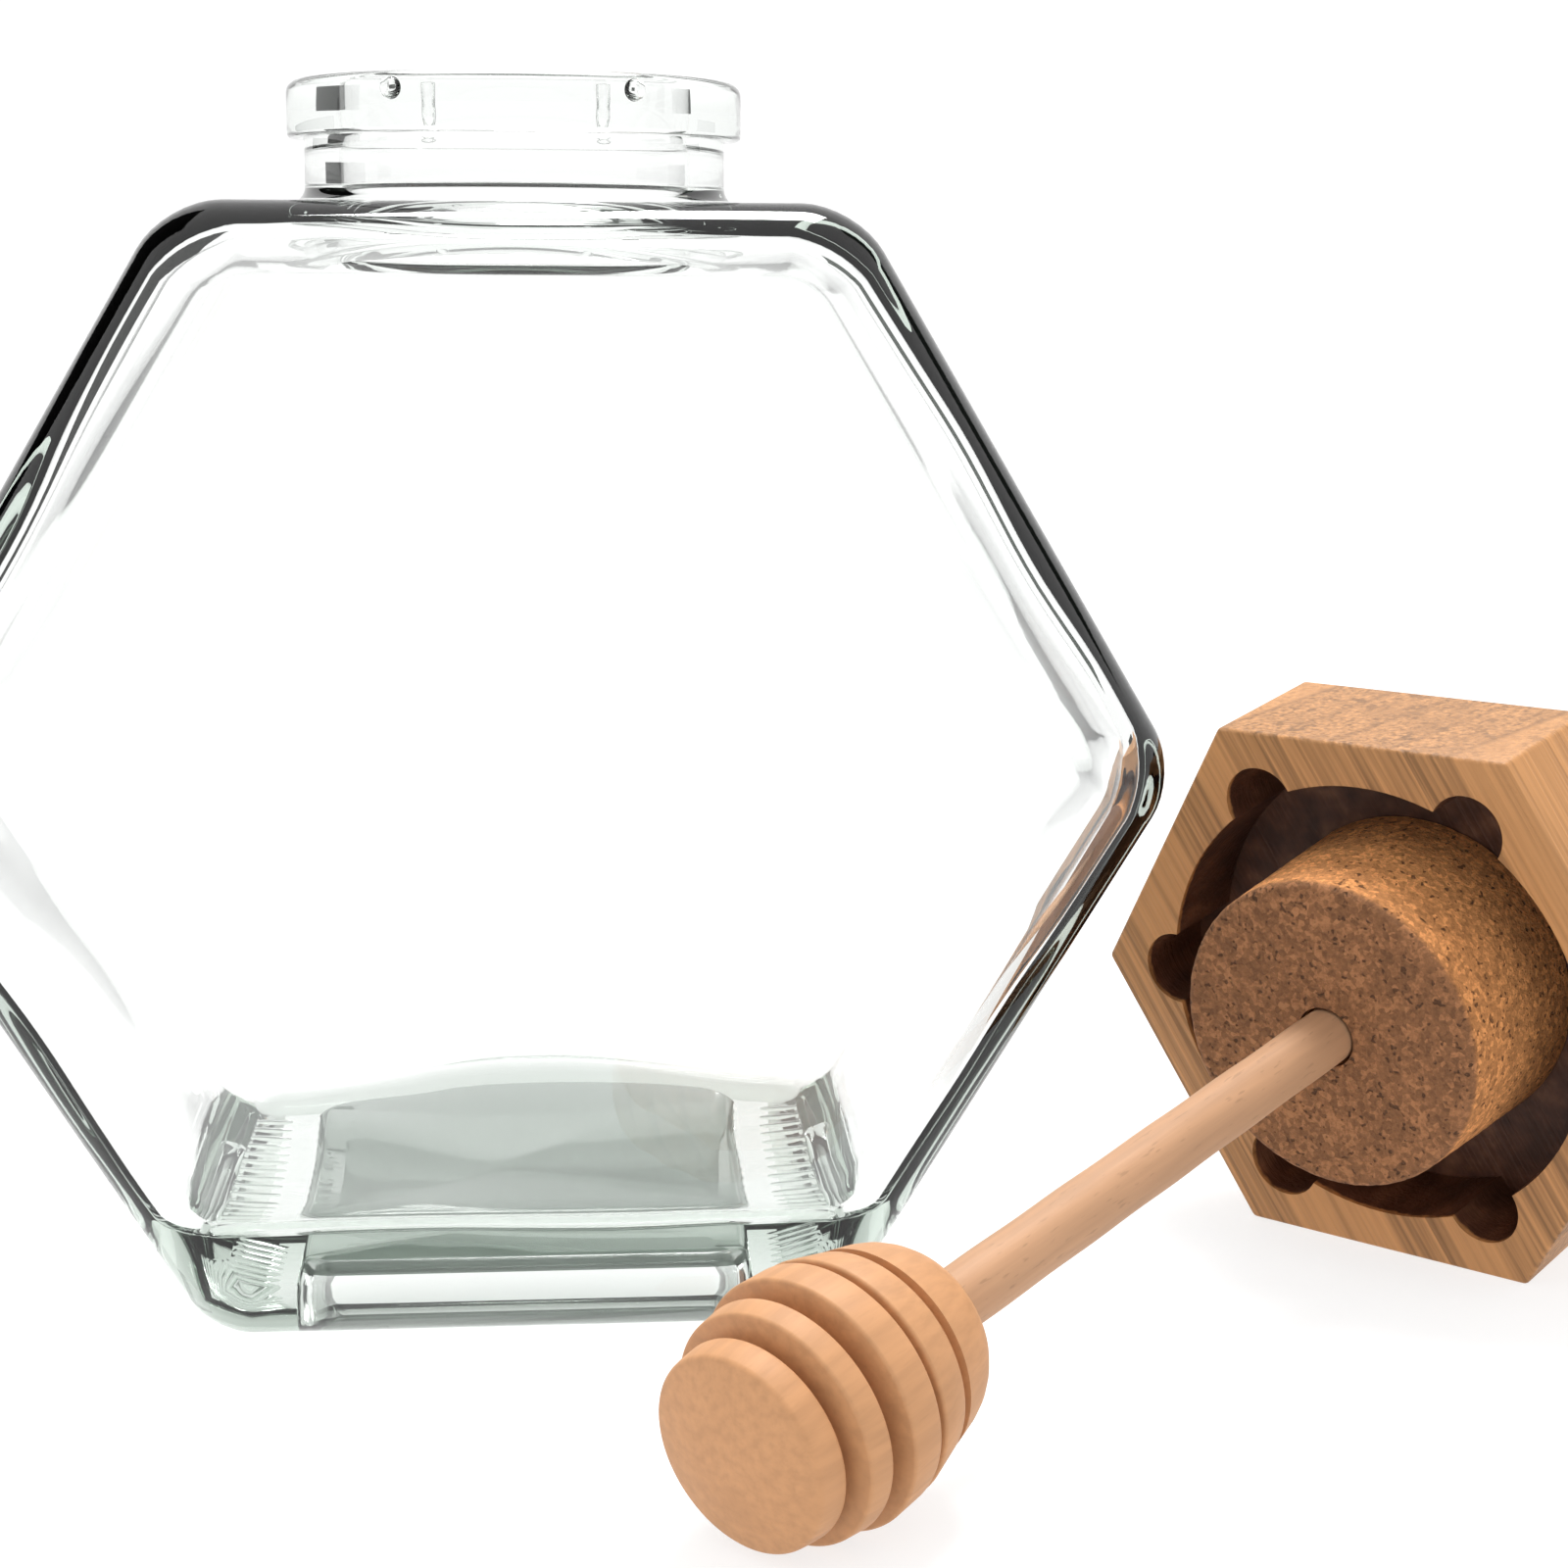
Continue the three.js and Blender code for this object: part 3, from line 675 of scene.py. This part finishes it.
def neck_profile(jar):
    """The neck from the shoulder outside, over the rim, to the ceiling inside."""
    shoulder = jar.body_height
    fillet = 1.6 * MM
    lip = 1.1 * MM
    ring_edge = 0.4 * MM
    ring_bottom = shoulder + jar.ring_bottom
    ring_top = shoulder + jar.ring_top
    flare = 2.4 * MM
    ceiling = shoulder - jar.wall
    rings = [(jar.neck_radius + fillet + 0.4 * MM, shoulder + 0.05 * MM)]
    rings += arc((jar.neck_radius + fillet, shoulder + fillet + 0.1 * MM), fillet, 270, 180, 5)
    rings += [(jar.neck_radius, ring_bottom - 1.5 * MM), (jar.neck_radius, ring_bottom - 0.3 * MM)]
    rings += [(jar.neck_radius + 0.15 * MM, ring_bottom - 0.05 * MM)]
    rings += arc((jar.ring_radius - ring_edge, ring_bottom + ring_edge), ring_edge, 270, 360, 3)
    rings += [(jar.ring_radius, ring_bottom + 2 * MM)]
    rings += arc((jar.ring_radius - lip, ring_top - lip), lip, 0, 90, 6)
    rings += arc((jar.mouth_radius + lip, ring_top - lip), lip, 90, 180, 6)
    rings += [(jar.mouth_radius, shoulder + 6 * MM), (jar.mouth_radius, shoulder + 3 * MM)]
    rings += arc((jar.mouth_radius + flare, ceiling + flare), flare, 180, 270, 6)
    return rings


def inner_skin(jar):
    """The hollow's skin: its floor rises towards the back, and a group marks how much of it may wander."""
    floor = jar.base_thickness
    half_depth = jar.body_depth / 2 - jar.wall
    corners, heels = 7 * MM, 5 * MM
    crown_half_width, crown_front, crown_reach = 2 * MM, 16 * MM, 26 * MM
    skin = hexagonal_skin("jar_inside", jar, floor, jar.wall, corners, heels, jar.inner_edge_radius, 20, 14)
    pick(
        "VERT",
        lambda v: abs(v.co.x - JAR_X) < crown_half_width
        and v.co.z < floor + NEAR
        and v.co.y - JAR_Y > crown_front,
    )
    bpy.ops.transform.translate(
        value=(0, 0, jar.floor_crown),
        use_proportional_edit=True,
        proportional_edit_falloff="SMOOTH",
        proportional_size=crown_reach,
    )
    bpy.ops.mesh.select_all(action="SELECT")
    bpy.ops.mesh.normals_make_consistent(inside=True)
    object_mode()
    group = skin.vertex_groups.new(name="inside")
    for vertex in skin.data.vertices:
        from_flat = half_depth - abs(vertex.co.y - JAR_Y)
        share = min(1.0, from_flat / jar.inner_edge_radius)
        group.add([vertex.index], share * share * (3 - 2 * share), "REPLACE")
    return skin


def glass_jar_mesh(jar):
    """The whole jar: outer skin, neck and inner skin bridged into one closed surface."""
    inner = inner_skin(jar)
    radii = (jar.corner_radius, jar.heel_radius, jar.edge_radius)
    outer = hexagonal_skin("glass_jar", jar, 0.0, 0.0, *radii, 12, 6)
    profile = neck_profile(jar)
    neck = begin(
        "neck",
        bpy.ops.mesh.primitive_circle_add,
        vertices=128,
        radius=profile[0][0],
        location=(JAR_X, JAR_Y, profile[0][1]),
    )
    bpy.ops.mesh.select_mode(type="EDGE")
    extrude_rings(profile, JAR_X, JAR_Y)
    piece = join([outer, inner, neck])
    bpy.ops.object.mode_set(mode="EDIT")
    for height in (jar.body_height, jar.body_height - jar.wall):
        pick("EDGE", lambda e: e.is_boundary and abs(middle(e).z - height) < 0.2 * MM)
        bpy.ops.mesh.bridge_edge_loops()
    tidy_normals()
    apply_modifier(
        piece,
        "DISPLACE",
        texture=clouds("glass_waves", 30 * MM),
        texture_coords="GLOBAL",
        direction="NORMAL",
        vertex_group="inside",
        mid_level=0.5,
        strength=jar.wave,
    )
    return piece


def copied(piece, matrix):
    """A copy of a piece with its own mesh, moved by a matrix."""
    copy = piece.copy()
    copy.data = piece.data.copy()
    copy.data.transform(matrix)
    bpy.context.collection.objects.link(copy)
    return copy


def push_up_cutter(jar):
    """What the mould pushes up under the base: a panel with rounded corners and a rounded upper edge."""
    corner, under = 4 * MM, 1 * MM
    panel = begin(
        "push_up",
        bpy.ops.mesh.primitive_plane_add,
        size=1,
        location=(JAR_X, JAR_Y, -under),
    )
    bpy.ops.transform.resize(
        value=(jar.push_up_width, jar.push_up_depth, 1), center_override=(JAR_X, JAR_Y, 0)
    )
    bpy.ops.mesh.bevel(offset=corner, segments=CORNER_STEPS, affect="VERTICES")
    pick("EDGE", lambda e: True)
    bpy.ops.mesh.extrude_edges_indiv()
    bpy.ops.transform.translate(value=(0, 0, under))
    bpy.ops.mesh.edge_face_add()
    bpy.ops.mesh.select_all(action="SELECT")
    bpy.ops.mesh.normals_make_consistent(inside=False)
    pick("FACE", lambda f: f.normal.z > 0.99)
    for start, end in quarter(EDGE_STEPS):
        bpy.ops.mesh.inset(
            thickness=jar.push_up_slope * (math.cos(start) - math.cos(end)),
            depth=jar.push_up_height * (math.sin(end) - math.sin(start)),
        )
    return panel


def knurl_grooves():
    """Two rows of shallow grooves across the rounded heels, which fade out at both ends."""
    inner, outer = 23.4 * MM, 27.4 * MM  # from the jar's middle
    rise, run_out = 1.1 * MM, 1.6 * MM
    radius, bite = 1.1 * MM, 0.2 * MM
    pitch, count = 2.6 * MM, 16
    tilt = math.atan2(rise, outer - inner)
    sunk = radius - bite
    groove = begin(
        "groove",
        bpy.ops.mesh.primitive_cylinder_add,
        vertices=20,
        radius=radius,
        depth=math.hypot(outer - inner, rise) + run_out,
        rotation=(0, math.pi / 2 - tilt, 0),
        location=((inner + outer) / 2 + sunk * math.sin(tilt), 0, rise / 2 - sunk * math.cos(tilt)),
    )
    object_mode()
    rows = [JAR_Y + (row - (count - 1) / 2) * pitch for row in range(count)]
    turns = [Matrix.Rotation(angle, 4, "Z") for angle in (0, math.pi)]
    grooves = [copied(groove, Matrix.Translation((JAR_X, y, 0)) @ turn) for turn in turns for y in rows]
    bpy.data.objects.remove(groove)
    return join(grooves)


def neck_lugs(jar):
    """Four small round lugs on the ring, near the rim."""
    radius, under_rim = 0.95 * MM, 1.5 * MM
    headings = (30, 150, 210, 330)
    lug = begin(
        "lug",
        bpy.ops.mesh.primitive_uv_sphere_add,
        segments=24,
        ring_count=16,
        radius=radius,
        location=(0, -jar.ring_radius, jar.body_height + jar.ring_top - under_rim),
    )
    object_mode()
    centre = Matrix.Translation((JAR_X, JAR_Y, 0))
    lugs = [copied(lug, centre @ Matrix.Rotation(math.radians(turn), 4, "Z")) for turn in headings]
    bpy.data.objects.remove(lug)
    return join(lugs)


class HONEYJAR_OT_glass_jar(bpy.types.Operator):
    """Model the glass jar"""

    bl_idname = "honey_jar.glass_jar"
    bl_label = "Glass jar"

    def execute(self, context):
        jar = context.scene.honey_jar.jar
        piece = glass_jar_mesh(jar)
        combine(piece, push_up_cutter(jar), "DIFFERENCE")
        combine(piece, knurl_grooves(), "DIFFERENCE")
        combine(piece, neck_lugs(jar), "UNION")
        settle(piece, Matrix(), 40, "jar", pressed_glass(jar))
        piece.visible_shadow = False
        return {"FINISHED"}


# Lid


def recess_cutter(name, radius, depth, offset=0.0):
    """A round cutter that leaves a recess of some depth in the lid's face."""
    over = 2 * MM
    return begin(
        name,
        bpy.ops.mesh.primitive_cylinder_add,
        vertices=96,
        radius=radius,
        depth=depth + over,
        location=(offset, 0, (over - depth) / 2),
    )


class HONEYJAR_OT_bamboo_lid(bpy.types.Operator):
    """Model the hexagonal bamboo lid with its notched recess"""

    bl_idname = "honey_jar.bamboo_lid"
    bl_label = "Bamboo lid"

    def execute(self, context):
        lid = context.scene.honey_jar.lid
        piece = begin(
            "bamboo_lid",
            bpy.ops.mesh.primitive_cylinder_add,
            vertices=6,
            radius=lid.radius,
            depth=lid.thickness,
            rotation=(0, 0, math.pi / 6),
            location=(0, 0, -lid.thickness / 2),
        )
        bpy.ops.mesh.select_mode(type="EDGE")
        bpy.ops.mesh.select_all(action="SELECT")
        bpy.ops.mesh.bevel(offset=LID_CHAMFER, segments=3, affect="EDGES")
        combine(piece, recess_cutter("recess", lid.recess_radius, lid.recess_depth), "DIFFERENCE")
        notch = recess_cutter("notch", lid.notch_radius, lid.recess_depth, lid.notch_offset)
        object_mode()
        for i in range(6):
            combine(piece, copied(notch, Matrix.Rotation(i * math.pi / 3, 4, "Z")), "DIFFERENCE")
        bpy.data.objects.remove(notch)
        settle(piece, lid_place(context), 30, "lid", laminated_bamboo(context))
        return {"FINISHED"}


class HONEYJAR_OT_cork_plug(bpy.types.Operator):
    """Model the cork plug with the hole for the stick"""

    bl_idname = "honey_jar.cork_plug"
    bl_label = "Cork plug"

    def execute(self, context):
        settings = context.scene.honey_jar
        lid = settings.lid
        gap = 0.3 * MM
        root = gap - lid.recess_depth
        rounding = 0.8 * MM
        end = lid.cork_outstand
        hole = settings.dipper.stick_radius + gap
        hole_middle, hole_end = 6 * MM, 12 * MM
        grain_size, grain_height = 0.9 * MM, 0.12 * MM
        side_steps = 40
        profile = [(lid.cork_root_radius * share, root) for share in (0.1, 0.5, 0.9)]
        profile += [
            (
                lid.cork_root_radius + (lid.cork_end_radius - lid.cork_root_radius) * i / side_steps,
                root + (end - rounding - root) * i / side_steps,
            )
            for i in range(side_steps)
        ]
        profile += arc((lid.cork_end_radius - rounding, end - rounding), rounding, 0, 90, 5)
        face_steps = 24
        inner = lid.cork_end_radius - rounding
        profile += [(inner + (hole - inner) * i / face_steps, end) for i in range(1, face_steps + 1)]
        profile += [(hole, end - hole_middle), (hole, end - hole_end), (hole * 0.5, end - hole_end)]
        piece = turned("cork_plug", profile, 200)
        object_mode()
        apply_modifier(
            piece,
            "DISPLACE",
            texture=clouds("cork_grit", grain_size),
            direction="NORMAL",
            mid_level=0.5,
            strength=grain_height,
        )
        settle(piece, lid_place(context), 50, "cork", agglomerated_cork(context))
        return {"FINISHED"}


# Dipper


def head_profile(dipper):
    """The turned head: a rounded shoulder, three rings between grooves, and a disc with a domed end."""
    socket = dipper.stick_radius + 0.1 * MM
    socket_depth, socket_mouth = 10 * MM, 0.2 * MM
    edge, lean = 0.3, 0.12
    start = dipper.head_start
    profile = [(0.3 * MM, start + socket_depth), (socket, start + socket_depth), (socket, start + socket_mouth)]

    # The shoulder in millimetres: radius and distance from the head's start
    shoulder = [(4.4, 0), (5.3, 0.3), (6.1, 0.7), (6.8, 1.3), (7.4, 2.1), (7.9, 3.0), (8.3, 4.1), (8.8, 6.2)]
    profile += [(radius * MM, start + rise * MM) for radius, rise in shoulder]

    # Each ring in millimetres: its start and end from the lid's face, its radius at both, and the radius of the
    # groove before it
    rings = [(74.3, 77.8, 9.1, 9.9, 8.1), (78.4, 81.7, 10.05, 10.2, 8.7), (83.3, 85.6, 9.5, 9.3, 6.9)]
    for ring_start, ring_end, start_radius, end_radius, groove in rings:
        last = profile[-1][1]
        profile += [(groove * MM, last + lean * MM), (groove * MM, (ring_start - lean) * MM)]
        profile += arc(((start_radius - edge) * MM, (ring_start + edge) * MM), edge * MM, -90, 0, 3)
        profile += arc(((end_radius - edge) * MM, (ring_end - edge) * MM), edge * MM, 0, 90, 3)

    # The last groove, and the disc with its rounded rim and domed end
    last_groove, disc_start, dome_start, dome_radius = 6.2 * MM, 86.75 * MM, 89.55 * MM, 7.3 * MM
    profile += [(last_groove, profile[-1][1] + lean * MM), (last_groove, disc_start)]
    profile += arc((7.75 * MM, 87.2 * MM), 0.35 * MM, -90, 0, 3)
    profile += [(8.0 * MM, 88.4 * MM)]
    profile += arc((dome_radius, 89.0 * MM), 0.6 * MM, 10, 70, 4)
    rise = dipper.head_end - dome_start
    for share in (0.9, 0.75, 0.55, 0.3, 0.1):
        profile.append((dome_radius * share, dome_start + rise * (1 - share**2.5)))
    return profile


class HONEYJAR_OT_dipper_head(bpy.types.Operator):
    """Model the dipper's turned head"""

    bl_idname = "honey_jar.dipper_head"
    bl_label = "Dipper head"

    def execute(self, context):
        dipper = context.scene.honey_jar.dipper
        piece = turned("dipper_head_turned", head_profile(dipper), 128)
        material = bare_beech(context, "turned_beech", dipper.head, 0.1)
        settle(piece, lid_place(context), 35, "dipper_head", material)
        return {"FINISHED"}


class HONEYJAR_OT_dipper_stick(bpy.types.Operator):
    """Model the dipper's stick"""

    bl_idname = "honey_jar.dipper_stick"
    bl_label = "Dipper stick"

    def execute(self, context):
        settings = context.scene.honey_jar
        radius = settings.dipper.stick_radius
        in_cork, in_head = 11.7 * MM, 9.7 * MM
        start = settings.lid.cork_outstand - in_cork
        end = settings.dipper.head_start + in_head
        steps, unevenness, turn_for_step = 60, 0.01, 0.7
        profile = [(radius * 0.4, start), (radius * 0.9, start)]
        for i in range(steps + 1):
            uneven = radius * (1 + unevenness * math.sin(i * turn_for_step))
            profile.append((uneven, start + 0.2 * MM + (end - start - 0.4 * MM) * i / steps))
        profile += [(radius * 0.9, end), (radius * 0.4, end)]
        piece = turned("dipper_stick_dowel", profile, 64)
        material = bare_beech(context, "beech_dowel", settings.dipper.stick, 0.5)
        settle(piece, lid_place(context), 50, "dipper_stick", material)
        return {"FINISHED"}


# Stage


def add_camera():
    """The photograph's camera, by its fitted place and directions."""
    yaw, pitch, roll = CAMERA_YAW, CAMERA_PITCH, CAMERA_ROLL
    forward = Vector(
        (math.sin(yaw) * math.cos(pitch), math.cos(yaw) * math.cos(pitch), -math.sin(pitch))
    )
    level = Vector((math.cos(yaw), -math.sin(yaw), 0))
    down = forward.cross(level)
    right = level * math.cos(roll) + down * math.sin(roll)
    up = level * math.sin(roll) - down * math.cos(roll)
    turn = Matrix((right, up, -forward)).transposed()
    place = CAMERA_PLACE + Vector((JAR_X, JAR_Y, 0))
    bpy.ops.object.camera_add(location=place, rotation=turn.to_euler())
    camera = bpy.context.object
    camera.data.sensor_width = SENSOR_WIDTH
    camera.data.lens = FOCAL_PIXELS * SENSOR_WIDTH / FRAME_PIXELS
    camera.data.clip_start = 0.01
    bpy.context.scene.camera = camera


def matt_paper(name, code):
    """Matt paper of one tone, with a faint mottle."""
    material, tree = finish(name)
    tone = srgb(code)
    place = add_node(tree, "TexCoord").outputs["Object"]
    spread = add_node(tree, "Mapping", {"Vector": place, "Scale": per_size(50, 50, 50)})
    mottle = add_node(tree, "TexNoise", {"Vector": spread, "Scale": 1.0})
    base = add_node(tree, "ValToRGB", (mottle,), stops=[(0.3, shaded(tone, 0.99)), (0.7, shaded(tone))])
    dull_surface(tree, base, mottle, 0.01, 0.9)
    return material


def lit_acrylic():
    """Opal acrylic sheet lit from below: an even white on which shadows stay faint."""
    material, tree = finish("opal_acrylic")
    inputs = {
        "Base Color": shaded(srgb("#959595")),
        "Roughness": 0.9,
        "Emission Color": (1, 1, 1, 1),
        "Emission Strength": FLOOR_GLOW,
        "Specular IOR Level": 0.0,
    }
    add_node(tree, "OutputMaterial", {"Surface": add_node(tree, "BsdfPrincipled", inputs)})
    return material


def add_floor():
    """A wide pale floor."""
    floor = begin("pale_floor", bpy.ops.mesh.primitive_circle_add, vertices=96, radius=FLOOR_RADIUS)
    bpy.ops.mesh.edge_face_add()
    object_mode()
    floor.data.materials.append(lit_acrylic())


def add_card(name, location, size, code):
    """A card around the set that only glass and gloss see."""
    turn = (Vector(CARD_AIM) - Vector(location)).to_track_quat("Z", "Y").to_euler()
    object_mode()
    bpy.ops.object.select_all(action="DESELECT")
    bpy.ops.mesh.primitive_plane_add(size=1, location=location, rotation=turn)
    card = bpy.context.object
    card.name = name
    card.scale = (size[0], size[1], 1)
    card.visible_camera = False
    card.visible_diffuse = False
    card.visible_shadow = False
    card.data.materials.append(matt_paper(name + "_paper", code))


def add_softbox():
    """A small softbox over the set."""
    object_mode()
    bpy.ops.object.light_add(type="AREA", location=SOFTBOX_PLACE)
    light = bpy.context.object
    light.name = "top_softbox"
    aim = Vector(SOFTBOX_AIM) - Vector(SOFTBOX_PLACE)
    light.rotation_euler = aim.to_track_quat("-Z", "Y").to_euler()
    light.data.shape = "RECTANGLE"
    light.data.size = SOFTBOX_SIDE
    light.data.size_y = SOFTBOX_SIDE
    light.data.energy = SOFTBOX_WATTS


class HONEYJAR_OT_stage(bpy.types.Operator):
    """Set up the pale floor, the softbox, the dark cards, the white surround and the camera"""

    bl_idname = "honey_jar.stage"
    bl_label = "Stage"

    def execute(self, context):
        add_floor()
        add_softbox()
        for card in CARDS:
            add_card(*card)
        world = context.scene.world or bpy.data.worlds.new("studio")
        context.scene.world = world
        world.use_nodes = True
        background = world.node_tree.nodes["Background"]
        background.inputs["Color"].default_value = (1, 1, 1, 1)
        background.inputs["Strength"].default_value = SURROUND_STRENGTH
        context.scene.view_settings.view_transform = "Standard"
        add_camera()
        return {"FINISHED"}


# Add-on


class HoneyJarSettings(bpy.types.PropertyGroup):
    """All settings of the set."""

    jar: bpy.props.PointerProperty(name="Jar", description="The glass jar", type=JarSettings)
    lid: bpy.props.PointerProperty(name="Lid", description="The lid and its cork", type=LidSettings)
    dipper: bpy.props.PointerProperty(name="Dipper", description="The dipper", type=DipperSettings)


OPERATORS = (
    HONEYJAR_OT_stage,
    HONEYJAR_OT_glass_jar,
    HONEYJAR_OT_bamboo_lid,
    HONEYJAR_OT_cork_plug,
    HONEYJAR_OT_dipper_stick,
    HONEYJAR_OT_dipper_head,
)


class HONEYJAR_PT_sidebar(bpy.types.Panel):
    """The set's operators and settings in the sidebar."""

    bl_label = "Honey jar"
    bl_space_type = "VIEW_3D"
    bl_region_type = "UI"
    bl_category = "Honey jar"

    def draw(self, context):
        for operator in OPERATORS:
            self.layout.operator(operator.bl_idname)
        settings = context.scene.honey_jar
        for group in (settings.jar, settings.lid, settings.dipper):
            box = self.layout.box()
            for name in group.bl_rna.properties.keys():
                if name not in ("rna_type", "name"):
                    box.prop(group, name)


CLASSES = (JarSettings, LidSettings, DipperSettings, HoneyJarSettings, *OPERATORS, HONEYJAR_PT_sidebar)


def register():
    for item in CLASSES:
        bpy.utils.register_class(item)
    bpy.types.Scene.honey_jar = bpy.props.PointerProperty(type=HoneyJarSettings)


def unregister():
    del bpy.types.Scene.honey_jar
    for item in reversed(CLASSES):
        bpy.utils.unregister_class(item)


def main():
    register()
    for operator in OPERATORS:
        area, name = operator.bl_idname.split(".")
        getattr(getattr(bpy.ops, area), name)()


if __name__ == "__main__":
    main()
